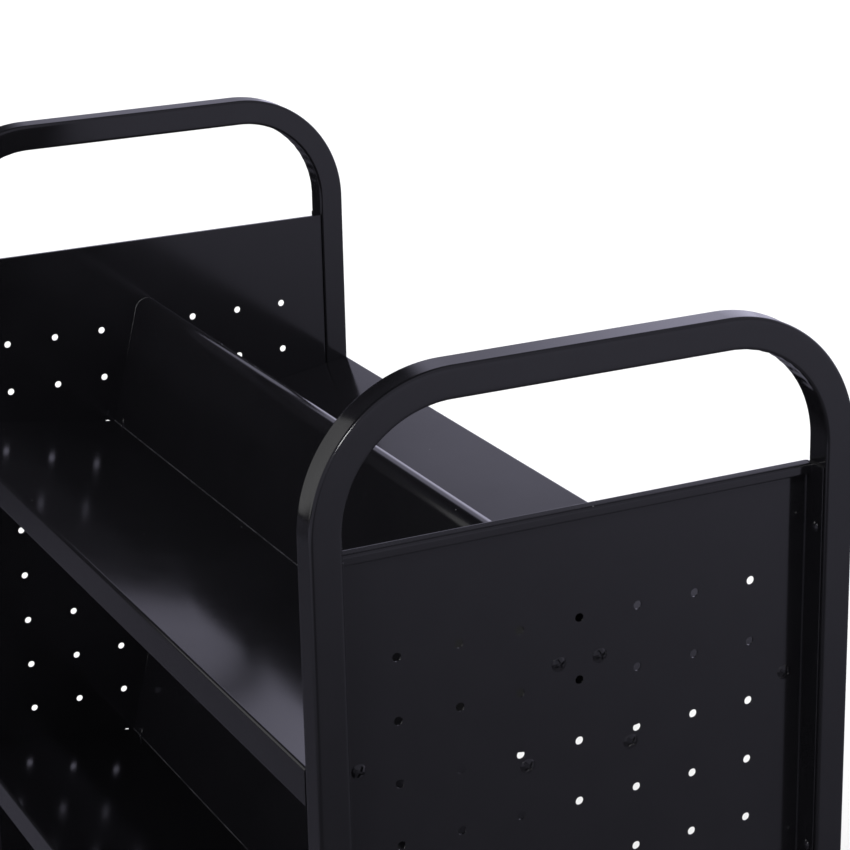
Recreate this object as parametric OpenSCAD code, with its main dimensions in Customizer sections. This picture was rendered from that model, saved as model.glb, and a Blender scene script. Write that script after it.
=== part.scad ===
// Double-sided book truck: two bent square-tube ends with a perforated panel set in each,
// three W-shaped sheet-steel shelves bolted between the panels, and four swivel casters.
// X runs along the truck, Y across it and Z up. The origin is on the floor, under the middle.

/* [Truck] */
// Length over the end frames
truck_len = 965.2; // [800:0.1:1200]
// Width over the end frames
truck_w = 457.2; // [430:0.1:520]
// Height from the floor to the top of the handles
truck_h = 1200; // [1150:1:1300]

/* [End frames] */
// Outer width of the square tube
tube_w = 25.4; // [22:0.1:30]
// Wall thickness of the tube
tube_wall = 1.6; // [1.2:0.1:2.5]
// Outer corner radius of the tube
tube_corner_r = 3; // [2:0.1:4]
// Bend radius of the handle, to the centre of the tube
handle_bend_r = 101.6; // [80:0.1:130]
// Height of the open bottom end of the legs above the floor
leg_bottom_z = 150; // [148:1:160]

/* [Sheet steel] */
// Thickness of the panels and shelves
sheet = 1.2; // [1:0.1:1.5]
// Bend radius of the sheet, to its middle
fold_r = 2; // [1.2:0.1:3]

/* [End panels] */
// Opening of the handle above the panel, from the tube down to the panel
hand_gap = 107.2; // [90:0.1:120]
// Height of the panel's lower edge above the floor
panel_bottom_z = 144; // [143:1:146]
// Depth of the flanges that lie against the legs
side_flange = 22; // [15:1:24]
// Depth of the folded flange along the top and bottom edges
top_flange = 6.5; // [6:0.1:9]
// Fall of that flange from the web to its outer edge
flange_fall = 0.9; // [0:0.1:1.5]
// Height of the turned-down lip of that flange
flange_lip = 7.4; // [5:0.1:8]
// Width of the return under that lip
flange_return = 3; // [2.5:0.1:4]
// Spacing of the punched holes, both ways
hole_pitch = 50.8; // [45:0.1:55]
// Diameter of the punched holes
hole_d = 7; // [5:0.1:9]
// Number of holes across the panel
hole_columns = 7; // [7:1:7]
// Number of rows of holes
hole_rows = 16; // [14:1:16]
// Height of the first row of holes below the panel's top edge
first_row_drop = 90.4; // [85:0.1:100]

/* [Shelves] */
// Number of hole rows between one shelf and the next
rows_per_level = 7; // [7:1:7]
// Height of the first hole row above the fold line of the top shelf
fold_drop = 100.8; // [95:0.1:105]
// Distance of each fold line from the middle of the truck
fold_y = 42.3; // [38:0.1:48]
// Height of the rounded ridge above the fold lines
ridge_h = 129; // [110:1:140]
// Outer radius of the ridge
ridge_r = 13; // [10:0.1:16]
// Rise of each shelf from its fold line to its outer edge
shelf_rise = 29; // [20:0.5:40]
// Height of the front lip
lip_h = 31; // [25:0.5:40]
// Width of the return under the lip
lip_return = 10; // [6:1:14]
// Gap between a shelf's ends and the panels
end_gap = 0.3; // [0.1:0.1:0.6]

/* [Fasteners] */
// Shank diameter of the shelf screws
screw_d = 5; // [4:0.1:6]
// Head diameter of the shelf screws
screw_head_d = 12.4; // [10:0.1:13]
// Head height of the shelf screws
screw_head_h = 2.6; // [2.5:0.1:4]
// Diameter of the rivet heads that hold the panels to the legs
rivet_head_d = 10; // [8:0.1:11]
// Shank diameter of those rivets
rivet_d = 4.8; // [4:0.1:5]
// Rivets along each side of a panel
rivets_per_side = 4; // [3:1:6]

/* [Casters] */
// Wheel diameter
wheel_d = 127; // [120:1:127]
// Wheel width
wheel_w = 32; // [25:1:32]
// Distance of the axle behind the swivel axis
caster_trail = 35; // [30:1:38]
// Thickness of the fork's steel
fork_t = 2.5; // [2:0.1:3]
// Clear width between the fork's legs
fork_gap = 37; // [36:0.5:38]
// Diameter of the axle bolt
axle_d = 8; // [6:0.1:10]
// Diameter of the kingpin
kingpin_d = 10; // [8:0.1:12]
// Running clearance of the bearings, on the radius
running_fit = 0.06; // [0.03:0.01:0.1]
// Swing of the brake pedals, in degrees, from free to pressed
brake_swing = 16; // [14:1:17]

/* [Hidden] */
$fn = 48;

black = "#17181b";
zinc = "#b9bcbf";
rubber = "#2a2b2d";

// End frames
frame_out_x = truck_len / 2;
frame_in_x = frame_out_x - tube_w;
leg_x = frame_in_x + tube_w / 2;
leg_y = truck_w / 2 - tube_w / 2;
leg_in_y = truck_w / 2 - tube_w;
handle_z = truck_h - tube_w / 2;
bend_z = handle_z - handle_bend_r;
bend_y = leg_y - handle_bend_r;

// Panels: the outer face of the web is in line with the inner faces of the legs
panel_top_z = truck_h - tube_w - hand_gap;
panel_half_w = leg_in_y - 0.2;
web_x = frame_in_x - sheet;
first_row_z = panel_top_z - first_row_drop;
rivet_edge = 51;
rivet_pitch = (panel_top_z - panel_bottom_z - 2 * rivet_edge) / (rivets_per_side - 1);

// Shelves: height of the fold lines of the three levels
level_pitch = rows_per_level * hole_pitch;
level_z = [for (i = [0:2]) first_row_z - fold_drop - i * level_pitch];
shelf_half_len = web_x - end_gap;
lip_half_len = frame_in_x - end_gap;
shelf_edge_y = truck_w / 2 - sheet / 2;
ridge_mid_r = ridge_r - sheet / 2;
ridge_centre_z = ridge_h - ridge_r;
wall_lean = atan(fold_y / ridge_centre_z)
    - asin(ridge_mid_r / norm([fold_y, ridge_centre_z]));
ridge_apex_z = fold_y / tan(wall_lean);
slope = shelf_rise / (shelf_edge_y - fold_y);

// Shelf end flanges: [y, z] from the fold line, on one side of the ridge
flange_w = 18;
flange_top_z = 82;
flange_ear_y = 46;
flange_toe_y = 52;
flange_ear_z = -19;
tab_y = 185.4;
tab_w = 19;
tab_h = 14;
screw_spots = [[17.7, 66.5], [45.1, -11.4], [tab_y, 16.8]];
screw_hole_d = screw_d + 0.6;
screw_len = 9;
nut_af = 8;
nut_h = 3.8;

// Drain holes through the folds, near the ends of each shelf
relief_d = 5;
relief_in = 23;

// Casters, in each caster's own frame: swivel axis on Z, axle towards -X
wheel_r = wheel_d / 2;
axle = [-caster_trail, wheel_r];
crown_z = wheel_d + 3.5;
race_z = crown_z + fork_t;
race_h = 4.5;
race_r = 20;
top_race_z = race_z + race_h + 0.4;
collar_z = top_race_z + 3.1;
stem_d = 9.5;
plug_foot = 3;
plug_z = leg_bottom_z - plug_foot;
plug_h = 32;
fork_half = fork_gap / 2 + fork_t;
bolt_head = 5.3;
rim_r = 50;
brake_r = wheel_r + 6;
brake_pivot = axle + brake_r * [-cos(62), sin(62)];
brake_pin_d = 5;
shoe_gap = 0.4;
pedal_w = 34;
tread_w = 44;
corners = [[1, -1], [1, 1], [-1, -1], [-1, 1]];

// ---------- shared shapes ----------

// Square with rounded corners, centred
module rounded_square(w, r) {
    square([w, w - 2 * r], center = true);
    square([w - 2 * r, w], center = true);
    for (x = [-1, 1], y = [-1, 1])
        translate([x, y] * (w / 2 - r)) circle(r);
}

// Cross-section of the square tube
module tube_section() {
    difference() {
        rounded_square(tube_w, tube_corner_r);
        rounded_square(tube_w - 2 * tube_wall, tube_corner_r - tube_wall);
    }
}

function unit(v) = v / norm(v);
function left_of(v) = [-v[1], v[0]];
function turned(v, angle) = [v[0] * cos(angle) - v[1] * sin(angle), v[0] * sin(angle) + v[1] * cos(angle)];

// One bend of a path at point i, as seen d to the left of the path
function bend_points(p, r, i, d) =
    let (
        ahead = unit(p[i] - p[i - 1]),
        angle = acos(ahead * unit(p[i + 1] - p[i])),
        side = cross(ahead, p[i + 1] - p[i]) > 0 ? 1 : -1,
        centre = p[i] - ahead * r[i] * tan(angle / 2) + side * r[i] * left_of(ahead),
        steps = ceil(angle / (r[i] > 5 ? 5 : 9))
    )
    [for (k = [0:steps]) centre + (d - side * r[i]) * turned(left_of(ahead), side * angle * k / steps)];

// The path p, bent to radius r[i] at each point, shifted d to its left
function shifted_path(p, r, d) =
    let (last = len(p) - 1)
    [
        p[0] + d * left_of(unit(p[1] - p[0])),
        for (i = [1:last - 1]) each bend_points(p, r, i, d),
        p[last] + d * left_of(unit(p[last] - p[last - 1]))
    ];

// Cross-section of a folded sheet of thickness t whose middle follows the path p
module folded_sheet(p, r, t) {
    back = shifted_path(p, r, -t / 2);
    polygon(concat(shifted_path(p, r, t / 2), [for (i = [len(back) - 1:-1:0]) back[i]]));
}

// Stands a flat drawing up in the Y-Z plane, from x0 to x1
module across_truck(x0, x1) {
    translate([x0, 0, 0]) rotate([90, 0, 90]) linear_extrude(x1 - x0) children();
}

// Puts a thing made for the A end at either end
module at_end(end) {
    if (end > 0) children();
    else mirror([1, 0, 0]) children();
}

// Puts a caster, drawn at the origin for the A end's +Y corner, at one of the four corners
module at_corner(i) {
    mirror([corners[i][0] < 0 ? 1 : 0, 0, 0])
        mirror([0, corners[i][1] < 0 ? 1 : 0, 0])
            translate([leg_x, leg_y, 0])
                children();
}

// Cylinder along Y between two distances from the wheel's middle plane
module across_wheel(xz, d, y0, y1) {
    translate([xz[0], y0, xz[1]]) rotate([-90, 0, 0]) cylinder(d = d, h = y1 - y0);
}

// Hexagonal prism with a bore, along Z
module hex_nut(af, h, bore) {
    difference() {
        cylinder(d = af / cos(30), h = h, $fn = 6);
        translate([0, 0, -1]) cylinder(d = bore, h = h + 2);
    }
}

// Low domed head on the plane z = 0
module dome(d, h) {
    ball_r = (d * d / 4 + h * h) / (2 * h);
    intersection() {
        translate([0, 0, h - ball_r]) sphere(ball_r, $fn = 64);
        cylinder(d = d, h = h);
    }
}

// ---------- end frames and panels ----------

module end_frame(end) {
    color(black) at_end(end) difference() {
        union() {
            for (s = [-1, 1]) {
                translate([leg_x, s * leg_y, leg_bottom_z])
                    linear_extrude(bend_z - leg_bottom_z) tube_section();
                translate([leg_x, s * bend_y, bend_z])
                    rotate([90, 0, 90])
                        rotate([0, 0, s > 0 ? 0 : 90])
                            rotate_extrude(angle = 90)
                                translate([handle_bend_r, 0]) tube_section();
            }
            translate([leg_x, -bend_y, handle_z])
                rotate([-90, 0, 0]) linear_extrude(2 * bend_y) tube_section();
        }
        for (s = [-1, 1], i = [0:rivets_per_side - 1])
            translate([leg_x, s * (leg_in_y - 1), rivet_z(i)])
                rotate([-90 * s, 0, 0]) cylinder(d = rivet_d + 0.2, h = tube_wall + 2);
    }
}

function rivet_z(i) = panel_top_z - rivet_edge - i * rivet_pitch;

module panel(end) {
    side_y = panel_half_w - sheet / 2;
    web_mid = web_x + sheet / 2;
    flange_end = frame_in_x + side_flange;
    color(black) at_end(end) difference() {
        union() {
            translate([0, 0, panel_bottom_z])
                linear_extrude(panel_top_z - panel_bottom_z)
                    folded_sheet(
                        [[flange_end, -side_y], [web_mid, -side_y], [web_mid, side_y], [flange_end, side_y]],
                        [0, fold_r, fold_r, 0], sheet);
            panel_edge(panel_top_z, 1);
            panel_edge(panel_bottom_z, -1);
        }
        for (row = [0:hole_rows - 1], column = [0:hole_columns - 1])
            web_hole((column - (hole_columns - 1) / 2) * hole_pitch, first_row_z - row * hole_pitch, hole_d);
        for (z = level_z, spot = screw_spots, s = [-1, 1])
            web_hole(s * spot[0], z + spot[1], screw_hole_d);
        for (s = [-1, 1], i = [0:rivets_per_side - 1])
            translate([leg_x, s * (leg_in_y + 1), rivet_z(i)])
                rotate([90 * s, 0, 0]) cylinder(d = rivet_d + 0.2, h = 4);
    }
}

// Flange along the top (side 1) or bottom (side -1) edge of the web, with its turned-in lip
module panel_edge(z, side) {
    end_y = panel_half_w - 0.7 * sheet;
    edge_z = z - side * sheet / 2;
    lip_x = frame_in_x + top_flange;
    corner_z = edge_z - side * flange_fall;
    foot_z = corner_z - side * flange_lip;
    translate([0, end_y, 0]) rotate([90, 0, 0]) linear_extrude(2 * end_y)
        folded_sheet(
            [[web_x + 0.75 * sheet, edge_z - side * 0.05], [lip_x, corner_z],
             [lip_x, foot_z], [lip_x - flange_return, foot_z]],
            [0, fold_r, 1, 0], sheet);
}

module web_hole(y, z, d) {
    translate([web_x - 1, y, z]) rotate([0, 90, 0]) cylinder(d = d, h = sheet + 2);
}

module panel_rivets(end) {
    head_y = panel_half_w - sheet;
    color(black) at_end(end)
        for (s = [-1, 1], i = [0:rivets_per_side - 1])
            translate([leg_x, s * head_y, rivet_z(i)])
                rotate([90 * s, 0, 0]) {
                    dome(rivet_head_d, 2.4);
                    translate([0, 0, -tube_wall - 2.4]) cylinder(d = rivet_d, h = tube_wall + 2.4);
                }
}

// ---------- shelves ----------

function slope_z(y) = slope * (y - fold_y);
function wall_y(z) = fold_y - z * tan(wall_lean);

// Middle of the sheet, from the return under one lip to the top of the ridge
half_profile = [
    [shelf_edge_y - lip_return, shelf_rise - lip_h],
    [shelf_edge_y, shelf_rise - lip_h],
    [shelf_edge_y, shelf_rise],
    [fold_y, 0]
];
mirrored_profile = [for (i = [len(half_profile) - 1:-1:0]) [-half_profile[i][0], half_profile[i][1]]];
shelf_profile = concat(half_profile, [[0, ridge_apex_z]], mirrored_profile);
shelf_radii = [0, fold_r, fold_r, fold_r, ridge_mid_r, fold_r, fold_r, fold_r, 0];

module shelf(z) {
    color(black) translate([0, 0, z]) difference() {
        union() {
            difference() {
                across_truck(-lip_half_len, lip_half_len)
                    folded_sheet(shelf_profile, shelf_radii, sheet);
                for (end = [-1, 1])
                    translate([end * (shelf_half_len + 10), 0, 50])
                        cube([20, 2 * panel_half_w + 0.8, 300], center = true);
            }
            for (end = [-1, 1], side = [-1, 1])
                mirror([end < 0 ? 1 : 0, 0, 0])
                    mirror([0, side < 0 ? 1 : 0, 0])
                        across_truck(shelf_half_len - sheet, shelf_half_len)
                            end_flange();
        }
        for (end = [-1, 1], side = [-1, 1], spot = screw_spots)
            translate([end * shelf_half_len, side * spot[0], spot[1]])
                rotate([0, 90, 0]) cylinder(d = screw_hole_d, h = 10, center = true);
        for (end = [-1, 1], side = [-1, 1])
            translate([end * (shelf_half_len - relief_in), side * fold_y, 0])
                cylinder(d = relief_d, h = 20, center = true);
    }
}

// Flange on the end of the back wall, with the ear below the fold, and the tab by the lip
module end_flange() {
    polygon([
        [wall_y(flange_top_z), flange_top_z], [fold_y, 0], [flange_ear_y, slope_z(flange_ear_y)],
        [flange_ear_y, -5], [flange_toe_y, -7], [flange_toe_y, flange_ear_z],
        [fold_y - flange_w + 6, flange_ear_z],
        [fold_y - flange_w, 0], [wall_y(flange_top_z) - flange_w, flange_top_z]
    ]);
    near = tab_y - tab_w / 2;
    far = tab_y + tab_w / 2;
    polygon([
        [near, slope_z(near)], [far, slope_z(far)],
        [far, slope_z(tab_y) - tab_h], [near, slope_z(tab_y) - tab_h]
    ]);
}

// Every screw place of one shelf, with +Z pointing out of the panel, and spun by its own angle
module at_screws(z, spin = 0) {
    for (end = [-1, 1], side = [-1, 1], spot = screw_spots)
        mirror([end < 0 ? 1 : 0, 0, 0])
            translate([frame_in_x, side * spot[0], z + spot[1]])
                rotate([0, 90, 0])
                    rotate([0, 0, spin * (spot[0] + 11 * end + 23 * side)])
                        children();
}

module shelf_screws(z) {
    color(black) at_screws(z, 1) {
        difference() {
            dome(screw_head_d, screw_head_h);
            for (a = [0, 90])
                rotate([0, 0, a]) translate([-4, -0.9, screw_head_h - 2]) cube([8, 1.8, 3]);
        }
        translate([0, 0, -screw_len]) cylinder(d = screw_d, h = screw_len);
    }
}

module shelf_nuts(z) {
    seat = 2 * sheet + end_gap;
    color(zinc) at_screws(z)
        translate([0, 0, -seat - nut_h]) hex_nut(nut_af, nut_h, screw_d + 0.1);
}

// ---------- casters ----------

module leg_plugs(end) {
    inner_w = tube_w - 2 * tube_wall - 0.2;
    color(black) at_end(end)
        for (s = [-1, 1])
            translate([leg_x, s * leg_y, plug_z])
                difference() {
                    union() {
                        linear_extrude(plug_foot - 0.1) rounded_square(tube_w, tube_corner_r);
                        linear_extrude(plug_h) rounded_square(inner_w, tube_corner_r - tube_wall);
                    }
                    translate([0, 0, -1]) cylinder(d = stem_d + 0.1, h = plug_h + 2);
                }
}

// Kingpin, upper race, hexagonal collar and stem, turned with the leg
module stem(i) {
    color(zinc) at_corner(i) {
        translate([0, 0, crown_z - 3.2]) cylinder(d = kingpin_d + 6, h = 3);
        translate([0, 0, crown_z - 3.2]) cylinder(d = kingpin_d, h = top_race_z - crown_z + 4);
        translate([0, 0, top_race_z]) cylinder(r1 = race_r, r2 = race_r - 1.5, h = collar_z - top_race_z);
        translate([0, 0, collar_z]) cylinder(d = 17 / cos(30), h = plug_z - collar_z - 0.1, $fn = 6);
        translate([0, 0, collar_z]) cylinder(d = stem_d, h = plug_z - collar_z + plug_h - 4);
    }
}

// Stamped fork: crown over the wheel, two tapering legs, and the lower race around the kingpin
module fork(i) {
    color(zinc) at_corner(i) difference() {
        union() {
            for (s = [-1, 1])
                translate([0, s * (fork_gap + fork_t) / 2, 0])
                    rotate([90, 0, 0]) linear_extrude(fork_t, center = true) fork_leg();
            translate([0, 0, crown_z]) linear_extrude(fork_t) {
                translate([axle[0] - 18, -fork_half]) square([caster_trail + 18 + 12, 2 * fork_half]);
                circle(r = race_r + 1);
            }
            translate([0, 0, race_z]) cylinder(r1 = race_r + 1, r2 = race_r - 1, h = race_h);
        }
        translate([0, 0, crown_z - 1]) cylinder(r = kingpin_d / 2 + running_fit, h = race_h + fork_t + 2);
        across_wheel(axle, axle_d + 0.2, -fork_half - 1, fork_half + 1);
        if (corners[i][0] > 0)
            across_wheel(brake_pivot, brake_pin_d + 0.1, -fork_half - 1, fork_half + 1);
    }
}

// Side view of a fork leg: X along the drawing, Z up
module fork_leg() {
    toe = 13;
    translate(axle) circle(toe);
    polygon([
        axle + toe * [-1, 0.05], brake_pivot + [-6, -5], brake_pivot + [-6, 3],
        [axle[0] - 18, crown_z + fork_t], [12, crown_z + fork_t], [12, crown_z - 10],
        axle + toe * [1, 0.05], axle + toe * [0.3, -0.2], axle + toe * [-0.3, -0.2]
    ]);
}

module axle_bolt(i) {
    color(zinc) at_corner(i) {
        across_wheel(axle, axle_d, -fork_half - 9, fork_half + 1);
        translate([axle[0], fork_half, axle[1]])
            rotate([-90, 0, 0]) cylinder(d = 13 / cos(30), h = bolt_head, $fn = 6);
    }
}

module axle_nut(i) {
    color(zinc) at_corner(i)
        translate([axle[0], -fork_half, axle[1]])
            rotate([90, 0, 0]) hex_nut(13, 6.5, axle_d + 0.1);
}

// Moulded wheel centre: rim, thin web and hub, bored for the axle
module hub(i) {
    half = wheel_w / 2;
    color(black) at_corner(i) translate([axle[0], 0, axle[1]]) rotate([90, 0, 0])
        rotate_extrude($fn = 96) difference() {
            translate([0, -half]) square([rim_r, wheel_w]);
            translate([0, -half - 3]) square([axle_d / 2 + running_fit, wheel_w + 6]);
            for (s = [-1, 1])
                translate([30, s * (half + 1)]) square([32, 22], center = true);
        }
}

module tyre(i) {
    half = wheel_w / 2;
    shoulder = 6;
    color(rubber) at_corner(i) translate([axle[0], 0, axle[1]]) rotate([90, 0, 0])
        rotate_extrude($fn = 96) {
            translate([rim_r, -half]) square([wheel_r - rim_r - shoulder, wheel_w]);
            translate([rim_r, -half + shoulder]) square([wheel_r - rim_r, wheel_w - 2 * shoulder]);
            for (s = [-1, 1])
                translate([wheel_r - shoulder, s * (half - shoulder)]) circle(shoulder);
        }
}

module brake_pin(i) {
    color(zinc) at_corner(i) {
        across_wheel(brake_pivot, brake_pin_d, -fork_half - 1.5, fork_half + 1.5);
        for (s = [-1, 1])
            translate([brake_pivot[0], s * (fork_half + 0.9), brake_pivot[1]])
                rotate([90, 0, 0]) cylinder(d = brake_pin_d + 3, h = 1.6, center = true);
    }
}

// Foot pedal: barrel on the pin, arm with the shoe over the wheel, and the wider tread plate
module brake(i) {
    color(zinc) at_corner(i) difference() {
        union() {
            across_wheel(brake_pivot, brake_pin_d + 4, -pedal_w / 2, pedal_w / 2);
            pedal_slice(pedal_w, [
                [0, 4.5], [-32, 1.8], [-32, -1], [-26, -0.8], [-26, -19], [-15, -14], [-12, 0], [0, 0]
            ]);
            pedal_slice(tread_w, [
                [-30, 2], [-44, 1], [-50, -7], [-47.5, -8.6], [-42.5, -1.6], [-30, -1]
            ]);
        }
        across_wheel(brake_pivot, brake_pin_d + 2 * running_fit, -fork_half, fork_half);
        translate([brake_pivot[0], 0, brake_pivot[1]])
            rotate([0, brake_swing, 0])
                across_wheel(axle - brake_pivot, wheel_d + 2 * shoe_gap, -fork_half, fork_half);
    }
}

// Side view of part of the pedal, measured from its pin, made w wide
module pedal_slice(w, outline) {
    translate([brake_pivot[0], w / 2, brake_pivot[1]])
        rotate([90, 0, 0]) linear_extrude(w) polygon(outline);
}

// ---------- the pieces ----------

end_frame(1);  // frame_a
end_frame(-1);  // frame_b
panel(1);  // panel_a
panel(-1);  // panel_b
panel_rivets(1);  // panel_rivets_a
panel_rivets(-1);  // panel_rivets_b
shelf(level_z[0]);  // shelf_top
shelf(level_z[1]);  // shelf_middle
shelf(level_z[2]);  // shelf_bottom
shelf_screws(level_z[0]);  // shelf_screws_top
shelf_screws(level_z[1]);  // shelf_screws_middle
shelf_screws(level_z[2]);  // shelf_screws_bottom
shelf_nuts(level_z[0]);  // shelf_nuts_top
shelf_nuts(level_z[1]);  // shelf_nuts_middle
shelf_nuts(level_z[2]);  // shelf_nuts_bottom
leg_plugs(1);  // leg_plugs_a
leg_plugs(-1);  // leg_plugs_b
stem(0);  // stem_al
stem(1);  // stem_ar
stem(2);  // stem_bl
stem(3);  // stem_br
fork(0);  // fork_al
fork(1);  // fork_ar
fork(2);  // fork_bl
fork(3);  // fork_br
axle_bolt(0);  // axle_al
axle_bolt(1);  // axle_ar
axle_bolt(2);  // axle_bl
axle_bolt(3);  // axle_br
axle_nut(0);  // axle_nut_al
axle_nut(1);  // axle_nut_ar
axle_nut(2);  // axle_nut_bl
axle_nut(3);  // axle_nut_br
hub(0);  // hub_al
hub(1);  // hub_ar
hub(2);  // hub_bl
hub(3);  // hub_br
tyre(0);  // tyre_al
tyre(1);  // tyre_ar
tyre(2);  // tyre_bl
tyre(3);  // tyre_br
brake_pin(0);  // brake_pin_al
brake_pin(1);  // brake_pin_ar
brake(0);  // brake_al
brake(1);  // brake_ar
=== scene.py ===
import math

import bmesh
import bpy
from mathutils import Matrix, Vector


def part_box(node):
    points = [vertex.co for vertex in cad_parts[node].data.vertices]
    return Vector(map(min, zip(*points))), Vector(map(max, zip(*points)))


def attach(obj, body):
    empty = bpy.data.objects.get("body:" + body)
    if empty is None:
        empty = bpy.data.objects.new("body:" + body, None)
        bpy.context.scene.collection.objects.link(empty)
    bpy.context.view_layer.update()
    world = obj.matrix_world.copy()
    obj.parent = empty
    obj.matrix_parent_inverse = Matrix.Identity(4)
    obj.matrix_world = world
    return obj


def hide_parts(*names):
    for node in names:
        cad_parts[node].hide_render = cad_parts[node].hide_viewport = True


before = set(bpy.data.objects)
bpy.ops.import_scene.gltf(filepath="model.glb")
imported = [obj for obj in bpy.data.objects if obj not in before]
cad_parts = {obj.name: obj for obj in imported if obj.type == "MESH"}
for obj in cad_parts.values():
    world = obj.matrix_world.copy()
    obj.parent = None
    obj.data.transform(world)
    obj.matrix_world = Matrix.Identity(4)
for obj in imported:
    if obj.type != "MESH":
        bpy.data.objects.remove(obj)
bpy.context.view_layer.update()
scene = bpy.context.scene

ENDS = {"a": 1, "b": -1}
CORNERS = ("al", "ar", "bl", "br")
LEVELS = ("top", "middle", "bottom")


# ---------- node helpers ----------

class Nodes:
    """A node tree and short ways to add and join its nodes."""

    def __init__(self, owner):
        owner.use_nodes = True
        self.tree = owner.node_tree
        self.tree.nodes.clear()

    def add(self, kind, **values):
        node = self.tree.nodes.new(kind)
        for name, value in values.items():
            setattr(node, name, value)
        return node

    def put(self, value, socket):
        """Sets the socket to a number or a colour, or links it to an output."""
        if isinstance(value, tuple):
            socket.default_value = (*value, 1.0)
        elif isinstance(value, (int, float)):
            socket.default_value = value
        else:
            self.tree.links.new(value, socket)

    def split(self, vector):
        node = self.add("ShaderNodeSeparateXYZ")
        self.put(vector, node.inputs["Vector"])
        return node.outputs

    def remap(self, value, from_min, from_max, to_min, to_max, smooth=False):
        node = self.add("ShaderNodeMapRange", interpolation_type="SMOOTHSTEP" if smooth else "LINEAR")
        for name, number in (("Value", value), ("From Min", from_min), ("From Max", from_max),
                             ("To Min", to_min), ("To Max", to_max)):
            self.put(number, node.inputs[name])
        return node.outputs["Result"]

    def math(self, operation, *values):
        node = self.add("ShaderNodeMath", operation=operation)
        for value, socket in zip(values, node.inputs):
            self.put(value, socket)
        return node.outputs["Value"]

    def chain(self, operation, first, *others):
        """The operation on all the values, one after another."""
        for other in others:
            first = self.math(operation, first, other)
        return first

    def glossy_choice(self, plain, mirrored):
        """One shader for the camera and for diffuse light, another for what glossy surfaces mirror."""
        choose = self.add("ShaderNodeMixShader")
        self.put(self.add("ShaderNodeLightPath").outputs["Is Glossy Ray"], choose.inputs["Fac"])
        self.put(plain, choose.inputs[1])
        self.put(mirrored, choose.inputs[2])
        return choose.outputs["Shader"]


class Shader(Nodes):
    """A material with one Principled shader, placed by object coordinates, in metres."""

    def __init__(self, name):
        self.material = bpy.data.materials.new(name)
        super().__init__(self.material)
        self.output = self.add("ShaderNodeOutputMaterial")
        self.bsdf = self.add("ShaderNodeBsdfPrincipled")
        self.put(self.bsdf.outputs["BSDF"], self.output.inputs["Surface"])
        self.place = self.add("ShaderNodeTexCoord").outputs["Object"]

    def noise(self, scale, detail=3.0, rough=0.5):
        node = self.add("ShaderNodeTexNoise")
        for name, value in (("Scale", scale), ("Detail", detail), ("Roughness", rough),
                            ("Vector", self.place)):
            self.put(value, node.inputs[name])
        return node.outputs["Fac"]

    def patches(self, low, high, scale, detail=3.0, rough=0.5, least=0.0, most=1.0):
        """Patches of noise: least where it is under low, most where it is over high."""
        return self.remap(self.noise(scale, detail, rough), low, high, least, most)

    def cells(self, scale):
        """Distance to the nearest of many scattered points, in cells."""
        node = self.add("ShaderNodeTexVoronoi")
        self.put(scale, node.inputs["Scale"])
        self.put(self.place, node.inputs["Vector"])
        return node.outputs["Distance"]

    def mix(self, factor, a, b):
        node = self.add("ShaderNodeMix", data_type="RGBA")
        for value, socket in zip((factor, a, b), (node.inputs[0], node.inputs[6], node.inputs[7])):
            self.put(value, socket)
        return node.outputs[2]

    def bump(self, height, distance, normal=None):
        node = self.add("ShaderNodeBump")
        self.put(1.0, node.inputs["Strength"])
        self.put(distance, node.inputs["Distance"])
        self.put(height, node.inputs["Height"])
        if normal is not None:
            self.put(normal, node.inputs["Normal"])
        return node.outputs["Normal"]

    def rounded_normal(self, radius):
        node = self.add("ShaderNodeBevel", samples=4)
        self.put(radius, node.inputs["Radius"])
        return node.outputs["Normal"]

    def face_normal(self):
        return self.add("ShaderNodeNewGeometry").outputs["Normal"]

    def edges(self, radius, low, high):
        """1 along edges sharper than a bend of the radius, 0 on flat faces."""
        node = self.add("ShaderNodeVectorMath", operation="DOT_PRODUCT")
        self.put(self.rounded_normal(radius), node.inputs[0])
        self.put(self.face_normal(), node.inputs[1])
        return self.remap(node.outputs["Value"], high, low, 0.0, 1.0)

    def upward(self, low, high):
        """0 on faces whose normal's Z is under low, 1 where it is over high."""
        return self.remap(self.split(self.face_normal())["Z"], low, high, 0.0, 1.0)

    def finish(self, color, roughness, normal, **fixed):
        self.put(color, self.bsdf.inputs["Base Color"])
        self.put(roughness, self.bsdf.inputs["Roughness"])
        self.put(normal, self.bsdf.inputs["Normal"])
        for name, value in fixed.items():
            self.put(value, self.bsdf.inputs[name])
        return self.material


# ---------- materials ----------

EDGE_RADIUS = 0.0006     # painted edges look this round
PEEL = 0.000006          # height of the orange peel
FOLD_Y = -0.0427         # where the left deck of each shelf folds up to the ridge
DECK_INSET = 0.0015      # from the inward face of a leg back to the end of a deck


def painted_shelf_highlights(s, base):
    """A painted highlight along the fold of each shelf's left deck, and a painted glint across the
    ridge near each end of the decks.
    """
    where = s.split(s.place)
    # Painted highlight: a faint, patchy light line along the fold of the left deck, on upward faces.
    off_fold = s.math("ABSOLUTE", s.math("SUBTRACT", where["Y"], FOLD_Y))
    fold_highlight = s.chain("MULTIPLY", s.remap(off_fold, 0.0002, 0.0010, 1.0, 0.0),
                   s.patches(0.35, 0.62, 55.0, 4.0, 0.7, least=0.25),
                   s.upward(0.35, 0.60))
    base = s.mix(fold_highlight, base, (0.036, 0.036, 0.040))
    # Painted glint: a light band across the ridge close to each end of the decks, patchy with noise.
    lo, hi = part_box("frame_a")
    deck_end = min(abs(lo[0]), abs(hi[0])) - DECK_INSET
    from_middle = s.math("ABSOLUTE", where["X"])
    ridge_end_glint = s.chain("MULTIPLY", s.remap(from_middle, deck_end - 0.0016, deck_end - 0.0006, 0.0, 1.0),
                     s.remap(s.math("ABSOLUTE", where["Y"]), 0.010, 0.026, 1.0, 0.0),
                     s.patches(0.35, 0.60, 70.0, least=0.2))
    return s.mix(ridge_end_glint, base, (0.16, 0.16, 0.17))


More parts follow.
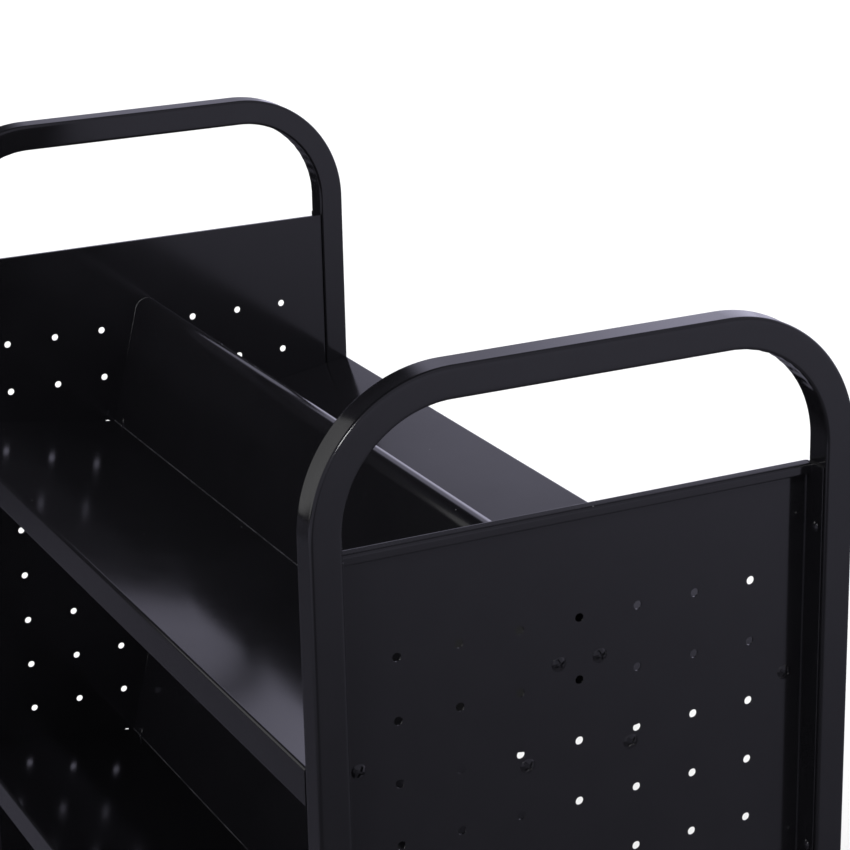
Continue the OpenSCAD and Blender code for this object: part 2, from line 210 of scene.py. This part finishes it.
def black_paint(name, gloss, on_shelf=False):
    """Semi-gloss black powder coat: orange peel, faint mottling, specks of grit on top, worn edges; on
    the shelves, painted highlights too.
    """
    s = Shader(name)
    base = s.mix(s.noise(26.0, 4.0, 0.6), (0.0026, 0.0025, 0.0031), (0.0044, 0.0043, 0.0052))
    worn = s.chain("MULTIPLY", s.edges(EDGE_RADIUS, 0.80, 0.97), s.patches(0.45, 0.70, 90.0))
    base = s.mix(s.math("MULTIPLY", worn, 0.5), base, (0.030, 0.029, 0.029))
    specks = s.chain("MULTIPLY", s.remap(s.cells(70.0), 0.026, 0.044, 1.0, 0.0),
                     s.patches(0.52, 0.66, 9.0), s.upward(0.6, 0.95))
    base = s.mix(specks, base, (0.22, 0.22, 0.24))
    if on_shelf:
        base = painted_shelf_highlights(s, base)
    roughness = s.patches(0.30, 0.75, 7.0, 5.0, 0.62, least=gloss, most=gloss + 0.07)
    roughness = s.chain("ADD", roughness, s.math("MULTIPLY", specks, 0.4),
                        s.math("MULTIPLY", worn, 0.12))
    normal = s.bump(s.noise(330.0, 2.0, 0.5), PEEL, s.rounded_normal(EDGE_RADIUS))
    return s.finish(base, roughness, normal, IOR=1.5)


def zinc_plate(name):
    """Bright zinc plate over stamped steel: soft cloudiness, fine grain and a faint warm cast."""
    s = Shader(name)
    base = s.mix(s.noise(40.0, 5.0, 0.6), (0.46, 0.47, 0.48), (0.66, 0.66, 0.64))
    dull = s.patches(0.45, 0.75, 14.0, 4.0)
    base = s.mix(s.math("MULTIPLY", dull, 0.35), base, (0.34, 0.34, 0.33))
    roughness = s.patches(0.2, 0.8, 160.0, 4.0, 0.7, least=0.22, most=0.40)
    return s.finish(base, roughness, s.bump(s.noise(900.0, 3.0), 0.00006), Metallic=0.72)


def moulded(name, dark, light, smoothest, roughest, grain):
    """Moulded plastic or rubber: fine grain, scuffs and dust."""
    s = Shader(name)
    base = s.mix(s.noise(60.0, 4.0, 0.6), dark, light)
    scuffed = tuple(min(1.0, 2.2 * v + 0.02) for v in light)
    base = s.mix(s.patches(0.58, 0.72, 22.0, 6.0, 0.7, most=0.5), base, scuffed)
    roughness = s.patches(0.3, 0.7, 120.0, least=smoothest, most=roughest)
    return s.finish(base, roughness, s.bump(s.noise(1400.0, 2.0), grain))


PAINT = black_paint("black_powder_coat", 0.09)
SHELF_PAINT = black_paint("black_powder_coat_shelf", 0.09, on_shelf=True)
FASTENER = black_paint("black_fastener_coat", 0.13)
ZINC = zinc_plate("zinc_plate")
PLUG = moulded("plug_plastic", (0.014, 0.014, 0.014), (0.022, 0.022, 0.022), 0.45, 0.62, 0.00005)
HUB = moulded("hub_nylon", (0.030, 0.030, 0.032), (0.046, 0.046, 0.048), 0.38, 0.55, 0.00005)
TYRE = moulded("tyre_rubber", (0.018, 0.018, 0.019), (0.030, 0.030, 0.031), 0.58, 0.78, 0.00009)


def material_of(node):
    family = node.split("_")[0]
    if node.startswith(("panel_rivets", "shelf_screws")):
        return FASTENER
    if node.startswith(("shelf_nuts", "axle", "brake")) or family in ("stem", "fork"):
        return ZINC
    return {"shelf": SHELF_PAINT, "leg": PLUG, "hub": HUB, "tyre": TYRE}.get(family, PAINT)


def set_material(obj, material):
    obj.data.materials.clear()
    obj.data.materials.append(material)


def weight_normals(obj):
    """Keeps flat faces evenly shaded right up to their rounded edges."""
    modifier = obj.modifiers.new("flats", "WEIGHTED_NORMAL")
    modifier.weight = 100
    modifier.keep_sharp = True


def smooth_by_angle(obj, degrees):
    for polygon in obj.data.polygons:
        polygon.use_smooth = True
    modifier = obj.modifiers.new("weld", "WELD")
    modifier.merge_threshold = 0.00001
    modifier = obj.modifiers.new("edges", "EDGE_SPLIT")
    modifier.split_angle = math.radians(degrees)
    weight_normals(obj)


for name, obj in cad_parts.items():
    set_material(obj, material_of(name))
    smooth_by_angle(obj, 25)


# ---------- pieces in finer mesh ----------

def make_piece(name, verts, faces, node, body, material, sharp):
    """A closed mesh that stands for a CAD node; edges over sharp degrees stay sharp."""
    mesh = bpy.data.meshes.new(name)
    mesh.from_pydata(verts, [], faces)
    grid = bmesh.new()
    grid.from_mesh(mesh)
    bmesh.ops.recalc_face_normals(grid, faces=grid.faces)
    grid.to_mesh(mesh)
    grid.free()
    for polygon in mesh.polygons:
        polygon.use_smooth = True
    mesh.set_sharp_from_angle(angle=math.radians(sharp))
    obj = bpy.data.objects.new(name, mesh)
    scene.collection.objects.link(obj)
    weight_normals(obj)
    set_material(obj, material)
    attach(obj, body)
    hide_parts(node)


def quads_between(first, second, count):
    """Quads from one closed ring of points to the next."""
    return [(first + k, first + (k + 1) % count, second + (k + 1) % count, second + k)
            for k in range(count)]


def round_points(radius, steps):
    """Points on a full circle about the origin."""
    turns = [2 * math.pi * k / steps for k in range(steps)]
    return [(radius * math.cos(a), radius * math.sin(a)) for a in turns]


# The end frames: square tube bent at both top corners

TUBE = 0.0254
TUBE_WALL = 0.0016
TUBE_CORNER = 0.0028
BEND_R = 0.1016          # to the middle of the tube
LEG_BOTTOM = 0.150
LEG_STEPS = 6
BEND_STEPS = 84
FACE_STEPS = 8
CORNER_STEPS = 7
WRINKLES = 12.5          # pressed into the inward face of one bend
WRINKLE_HEIGHT = 0.00060
WRINKLE_WANDER = 0.14    # how far a wrinkle strays along the bend, in wrinkles
HOLLOW = 0.00025         # of the outward face of a bend
FACE_BAND = 0.0004       # a point this near the tube's face belongs to it


def tube_ring(width, radius):
    """Points [outward, along X] round a rounded square, starting on the inward face."""
    ring = []
    half = width / 2
    flat = half - radius
    for quarter in range(4):
        turn = math.radians(90 * quarter)
        side = [(-half, flat * (1 - 2 * k / FACE_STEPS)) for k in range(FACE_STEPS)]
        corner = [(-flat - radius * math.cos(a), -flat - radius * math.sin(a))
                  for a in (math.radians(90 * k / CORNER_STEPS) for k in range(CORNER_STEPS))]
        ring += [(u * math.cos(turn) - v * math.sin(turn), u * math.sin(turn) + v * math.cos(turn))
                 for u, v in side + corner]
    return ring


def handle_path(leg_y, handle_z):
    """Stations along the bent tube, from one foot to the other.

    Each is y, z, the angle of the outward direction from +Y, and the place in a bend from 0 to 1,
    which is -1 on a straight.
    """
    bend_y = leg_y - BEND_R
    bend_z = handle_z - BEND_R
    stations = [(leg_y, LEG_BOTTOM + (bend_z - LEG_BOTTOM) * k / LEG_STEPS, 0.0, -1.0)
                for k in range(LEG_STEPS)]
    for k in range(BEND_STEPS + 1):
        a = math.radians(90 * k / BEND_STEPS)
        stations.append((bend_y + BEND_R * math.cos(a), bend_z + BEND_R * math.sin(a),
                         a, k / BEND_STEPS))
    stations.append((0.0, handle_z, math.pi / 2, -1.0))
    return stations + [(-y, z, math.pi - a, t) for y, z, a, t in reversed(stations[:-1])]


def crease(u, v, t, seed):
    """How far the bend's wrinkles and hollow move a point of the tube's ring outwards."""
    if t < 0.0:
        return 0.0
    middle = max(0.0, 1 - (2 * t - 1) ** 4)
    across = max(0.0, 1 - (v / (TUBE / 2)) ** 2)
    if u < -TUBE / 2 + FACE_BAND:
        wander = WRINKLE_WANDER * math.sin(900 * v + seed)
        waves = math.sin(2 * math.pi * (WRINKLES * t + wander))
        swell = 0.55 + 0.45 * math.sin(5.3 * t + seed)
        return across * middle * WRINKLE_HEIGHT * (waves * swell + 1)
    if u > TUBE / 2 - FACE_BAND:
        return -HOLLOW * across * middle
    return 0.0


def make_frame(end):
    """One hollow tube: an outside and an inside skin, joined by a ring at each foot."""
    lo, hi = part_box("frame_" + end)
    leg_y = hi[1] - TUBE / 2
    leg_x = ENDS[end] * (max(abs(lo[0]), abs(hi[0])) - TUBE / 2)
    stations = handle_path(leg_y, hi[2] - TUBE / 2)
    outside = tube_ring(TUBE, TUBE_CORNER)
    inside = tube_ring(TUBE - 2 * TUBE_WALL, TUBE_CORNER - TUBE_WALL)
    count = len(outside)
    verts, faces = [], []
    for ring in (outside, inside):
        for y, z, a, t in stations:
            seed = 1.7 * ENDS[end] + (2.0 if y > 0 else 0.0)
            for u, v in ring:
                w = u + (crease(u, v, t, seed) if ring is outside else 0.0)
                verts.append((leg_x + v, y + w * math.cos(a), z + w * math.sin(a)))
    skin = len(stations) * count
    for start in (0, skin):
        for k in range(len(stations) - 1):
            first = start + k * count
            faces += quads_between(first, first + count, count)
    for foot in (0, skin - count):
        faces += quads_between(foot, skin + foot, count)
    make_piece("bent_tube_" + end, verts, faces, "frame_" + end, "chassis", PAINT, 35)


# The wheels: a tyre on a ribbed centre

RIM_R = 0.050            # where the tyre meets the wheel centre
BORE_R = 0.00406
BOSS_R = 0.014
BOSS_LIP = 0.0008
WEB = 0.0030             # half the thickness of the web
SHOULDER = 0.0058        # rounding of the tyre's shoulders
CROWN = 0.0004           # height of the tread's crown
RIBS = 8
TYRE_STEPS = 128
HUB_STEPS = 96


def lathe(profile, centre, steps):
    """A closed profile of [radius, y], turned round the wheel's axis."""
    verts, faces = [], []
    for across, up in round_points(1.0, steps):
        verts += [(centre[0] + r * across, centre[1] + y, centre[2] + r * up) for r, y in profile]
    count = len(profile)
    for k in range(steps):
        faces += quads_between(k * count, ((k + 1) % steps) * count, count)
    return verts, faces


def arc(r, y, radius, from_deg, to_deg, steps):
    """Points on an arc about [r, y]; 0 degrees points away from the axis, 90 towards +y."""
    turns = [math.radians(from_deg + (to_deg - from_deg) * k / steps) for k in range(steps + 1)]
    return [(r + radius * math.cos(a), y + radius * math.sin(a)) for a in turns]


def both_sides(profile):
    return profile + [(r, -y) for r, y in reversed(profile)]


def tyre_profile(outer, half):
    """Crowned tread with a moulding line, round shoulders, a step down each side."""
    bead = [(RIM_R, half - 0.0002), (RIM_R + 0.0022, half - 0.0002), (RIM_R + 0.0026, half - 0.0010),
            (RIM_R + 0.0046, half - 0.0010), (RIM_R + 0.0050, half)]
    shoulder = arc(outer - CROWN - SHOULDER, half - SHOULDER, SHOULDER, 90, 0, 8)
    tread = [(outer - 0.0002, 0.006), (outer - 0.0002, 0.0005), (outer, 0.0003)]
    return both_sides(bead + shoulder + tread)


def hub_profile(half):
    """Boss with rounded lips, thin web, rim."""
    boss = [(BORE_R, half - BOSS_LIP), (BORE_R + BOSS_LIP, half)]
    boss += arc(BOSS_R - BOSS_LIP, half - BOSS_LIP, BOSS_LIP, 90, 0, 3)
    web = [(BOSS_R + 0.0006, WEB + 0.002), (BOSS_R + 0.0025, WEB),
           (RIM_R - 0.0065, WEB), (RIM_R - 0.0046, WEB + 0.002)]
    rim = [(RIM_R - 0.0040, half - 0.0012), (RIM_R - 0.0032, half - 0.0004),
           (RIM_R - 0.0004, half - 0.0004), (RIM_R, half - 0.0008)]
    return both_sides(boss + web + rim)


def add_ribs(verts, faces, centre, half):
    """Ribs from the boss to the rim, on both sides of the web, thinner at their tops."""
    root = WEB - 0.001
    tops = ((BOSS_R - 0.001, half - 0.0028), (0.024, half - 0.0062), (RIM_R - 0.002, half - 0.0050))
    for k in range(RIBS):
        a = 2 * math.pi * (k + 0.5) / RIBS
        cos, sin = math.cos(a), math.sin(a)
        for sign in (-1, 1):
            base = len(verts)
            for r, top in tops:
                for wide, y in ((-0.0019, root), (-0.0012, top), (0.0012, top), (0.0019, root)):
                    verts.append((centre[0] + r * cos - wide * sin, centre[1] + sign * y,
                                  centre[2] + r * sin + wide * cos))
            for first in (base, base + 4):
                faces += quads_between(first, first + 4, 4)
            faces += [tuple(range(base, base + 4)), tuple(range(base + 8, base + 12))]


def make_wheel(corner):
    lo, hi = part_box("tyre_" + corner)
    centre = [(a + b) / 2 for a, b in zip(lo, hi)]
    half = (hi[1] - lo[1]) / 2
    outer = (hi[2] - lo[2]) / 2
    body = "wheel_" + corner
    verts, faces = lathe(tyre_profile(outer, half), centre, TYRE_STEPS)
    make_piece("tyre_mould_" + corner, verts, faces, "tyre_" + corner, body, TYRE, 40)
    verts, faces = lathe(hub_profile(half), centre, HUB_STEPS)
    add_ribs(verts, faces, centre, half)
    make_piece("ribbed_hub_" + corner, verts, faces, "hub_" + corner, body, HUB, 30)


# The shelf screws: truss heads with a cross recess

HEAD_R = 0.0062
HEAD_H = 0.0026
HEAD_MIN = 0.0002        # the recess never cuts lower than this over the seat
SHANK_R = 0.0025
SHANK_LEN = 0.009
SHANK_CHAMFER = 0.0006
HEAD_RINGS = 26
SCREW_SPOKES = 72
ARM_HALF_WIDTH = 0.00125
ARM_REACH = 0.0048
RECESS_DEPTH = 0.0021
SCREW_SPOTS = ((0.0177, 0.0665), (0.0451, -0.0114), (0.1854, 0.0168))   # y, z over the fold


def head_height(y, z):
    """Height of a truss head over its seat, with its cross recess."""
    ball = (HEAD_R ** 2 + HEAD_H ** 2) / (2 * HEAD_H)
    height = math.sqrt(max(0.0, ball ** 2 - y * y - z * z)) - ball + HEAD_H
    along, off = max(abs(y), abs(z)), min(abs(y), abs(z))
    half_width = ARM_HALF_WIDTH - 0.09 * along
    reach = min(1.0, max(0.0, (ARM_REACH - along) / 0.0005))
    wall = min(1.0, max(0.0, (half_width - off) / 0.00025))
    depth = RECESS_DEPTH - 0.12 * along
    return max(HEAD_MIN, height - depth * reach * wall)


def screw_rings():
    """Rings of [across, up, height over the seat], from the head's middle to the shank's tip."""
    rings = []
    for ring in range(1, HEAD_RINGS + 1):
        spots = round_points(HEAD_R * ring / HEAD_RINGS, SCREW_SPOKES)
        rings.append([(x, y, head_height(x, y)) for x, y in spots])
    for r, height in ((HEAD_R, 0.0), (SHANK_R, 0.0), (SHANK_R, SHANK_CHAMFER - SHANK_LEN),
                      (SHANK_R - SHANK_CHAMFER, -SHANK_LEN)):
        rings.append([(x, y, height) for x, y in round_points(r, SCREW_SPOKES)])
    return rings


def make_screws(level):
    """Screws at both ends of one shelf, each turned by its own angle."""
    node = "shelf_screws_" + level
    lo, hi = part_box(node)
    lowest_spot = min(z for y, z in SCREW_SPOTS)
    fold_z = lo[2] + HEAD_R - lowest_spot
    seat_x = hi[0] - HEAD_H
    rings = screw_rings()
    verts, faces = [], []
    spots = [(end, side, number) for end in (-1, 1) for side in (-1, 1)
             for number in range(len(SCREW_SPOTS))]
    for end, side, number in spots:
        y, z = SCREW_SPOTS[number]
        turn = 0.7 + 1.9 * number + 0.8 * side + 0.5 * end
        cos, sin = math.cos(turn), math.sin(turn)
        start = len(verts)
        verts.append((end * (seat_x + head_height(0.0, 0.0)), side * y, fold_z + z))
        for ring in rings:
            verts += [(end * (seat_x + height), side * y + a * cos - b * sin,
                       fold_z + z + a * sin + b * cos) for a, b, height in ring]
        outline = start + 1
        faces += [(start, outline + k, outline + (k + 1) % SCREW_SPOKES)
                  for k in range(SCREW_SPOKES)]
        for ring in range(len(rings) - 1):
            first = outline + ring * SCREW_SPOKES
            faces += quads_between(first, first + SCREW_SPOKES, SCREW_SPOKES)
        tip = outline + (len(rings) - 1) * SCREW_SPOKES
        faces.append(tuple(range(tip, tip + SCREW_SPOKES)))
    make_piece("truss_screws_" + level, verts, faces, node, "chassis", FASTENER, 40)


for level in LEVELS:
    make_screws(level)
for end in ENDS:
    make_frame(end)
for corner in CORNERS:
    make_wheel(corner)


# ---------- stage ----------
# The camera and diffuse light see a white studio. Glossy surfaces mirror a dimmer one, with one
# bright wall behind and to the right, as black paint does between screens in a photo studio.

MIRRORED_TINT = (0.80, 0.78, 1.0)
FLOOR_HALF = 60.0


def make_floor():
    """Pale floor. What the paint mirrors of it is dim, brighter towards the front and the edges."""
    mesh = bpy.data.meshes.new("floor")
    mesh.from_pydata([(x * FLOOR_HALF, y * FLOOR_HALF, 0)
                      for x, y in ((-1, -1), (1, -1), (1, 1), (-1, 1))], [], [(0, 1, 2, 3)])
    floor = bpy.data.objects.new("floor", mesh)
    scene.collection.objects.link(floor)
    s = Shader("pale_floor")
    s.put((0.88, 0.88, 0.88), s.bsdf.inputs["Base Color"])
    s.put(0.9, s.bsdf.inputs["Roughness"])
    s.put(0.0, s.bsdf.inputs["Specular IOR Level"])
    where = s.split(s.place)
    x, y = where["X"], where["Y"]
    front = s.chain("MULTIPLY", s.remap(x, -0.6, 1.6, 0.0, 1.0), s.remap(y, -0.9, 1.7, 0.0, 1.0),
                    s.remap(x, 1.6, 4.5, 0.38, 0.70))
    behind = s.chain("MULTIPLY", s.remap(y, -1.0, 2.0, 0.11, 0.30),
                     s.remap(x, -3.2, -2.2, 0.15, 1.0))
    left = s.chain("MULTIPLY", s.remap(y, -2.9, -1.6, 0.50, 0.0),
                   s.remap(x, -4.0, -2.5, 0.0, 1.0))
    far_right = s.chain("MULTIPLY", s.remap(y, 1.5, 4.5, 0.0, 0.9),
                        s.remap(x, -3.0, -1.0, 1.0, 0.0))
    glow = s.add("ShaderNodeEmission")
    s.put(MIRRORED_TINT, glow.inputs["Color"])
    s.put(s.chain("MAXIMUM", front, behind, left, far_right), glow.inputs["Strength"])
    seen = s.glossy_choice(s.bsdf.outputs["BSDF"], glow.outputs["Emission"])
    s.put(seen, s.output.inputs["Surface"])
    set_material(floor, s.material)


def make_world():
    """White studio. The paint mirrors a bright wall behind and to the right, and a darker left side."""
    world = bpy.data.worlds.new("studio")
    n = Nodes(world)
    plain = n.add("ShaderNodeBackground")
    n.put((1.0, 1.0, 1.0), plain.inputs["Color"])
    n.put(1.05, plain.inputs["Strength"])
    mirrored = n.add("ShaderNodeBackground")
    n.put(MIRRORED_TINT, mirrored.inputs["Color"])
    seen = n.glossy_choice(plain.outputs["Background"], mirrored.outputs["Background"])
    n.put(seen, n.add("ShaderNodeOutputWorld").inputs["Surface"])

    direction = n.split(n.add("ShaderNodeTexCoord").outputs["Generated"])
    sideways, upwards = direction["Y"], direction["Z"]
    wall = n.math("MULTIPLY", n.remap(sideways, 0.18, 0.34, 0.06, 0.84, smooth=True),
                  n.remap(upwards, 0.24, 0.42, 0.62, 1.0, smooth=True))
    wall = n.math("ADD", wall, n.remap(sideways, 0.43, 0.54, 0.0, 0.85, smooth=True))
    wall = n.math("MULTIPLY", wall, n.remap(upwards, 0.45, 0.56, 1.0, 0.22, smooth=True))
    far_left = n.remap(sideways, -0.9, -0.6, 0.45, 0.0, smooth=True)
    far_right = n.remap(sideways, 0.65, 0.9, 0.0, 0.45, smooth=True)
    strength = n.add("ShaderNodeMix")
    n.put(n.remap(direction["X"], -0.3, 0.5, 0.0, 1.0, smooth=True), strength.inputs["Factor"])
    n.put(n.chain("MAXIMUM", wall, far_left, far_right), strength.inputs["A"])
    n.put(0.5, strength.inputs["B"])   # the side that the camera stands on
    n.put(strength.outputs["Result"], mirrored.inputs["Strength"])
    scene.world = world


def aimed(name, data, location, target, roll=0.0):
    """A light or camera at the location, looking at the target, rolled by degrees."""
    obj = bpy.data.objects.new(name, data)
    obj.location = location
    turn = (Vector(target) - Vector(location)).to_track_quat("-Z", "Y").to_matrix().to_4x4()
    obj.rotation_mode = "QUATERNION"
    obj.rotation_quaternion = (turn @ Matrix.Rotation(math.radians(roll), 4, "Z")).to_quaternion()
    scene.collection.objects.link(obj)
    return obj


def make_lights():
    """A broad sun from the near left, and a soft card at the far left for the near bend to mirror."""
    sun = bpy.data.lights.new("key", "SUN")
    sun.energy = 1.4
    sun.angle = math.radians(15)
    aimed("key", sun, (2.0, -2.6, 2.4), (0.0, 0.0, 0.0))
    card = bpy.data.lights.new("side_card", "AREA")
    card.shape = "RECTANGLE"
    card.size = 0.90
    card.size_y = 1.30
    card.energy = 2.1
    placed = aimed("side_card", card, (-0.95, -1.24, 1.45), (0.47, -0.46, 1.10), roll=20.0)
    placed.visible_camera = False


CAMERA_AT = Vector((2.0461, -0.9011, 1.7411))
CAMERA_LOOKS = Vector((-0.85233, 0.41614, -0.31681))


def make_camera():
    camera = bpy.data.cameras.new("camera")
    camera.sensor_width = 36.0
    camera.lens = 111.2
    camera.clip_end = 200.0
    scene.camera = aimed("camera", camera, CAMERA_AT, CAMERA_AT + CAMERA_LOOKS, roll=-1.27)


make_floor()
make_world()
make_lights()
make_camera()

scene.view_settings.view_transform = "Standard"
scene.view_settings.look = "None"

bpy.context.view_layer.update()
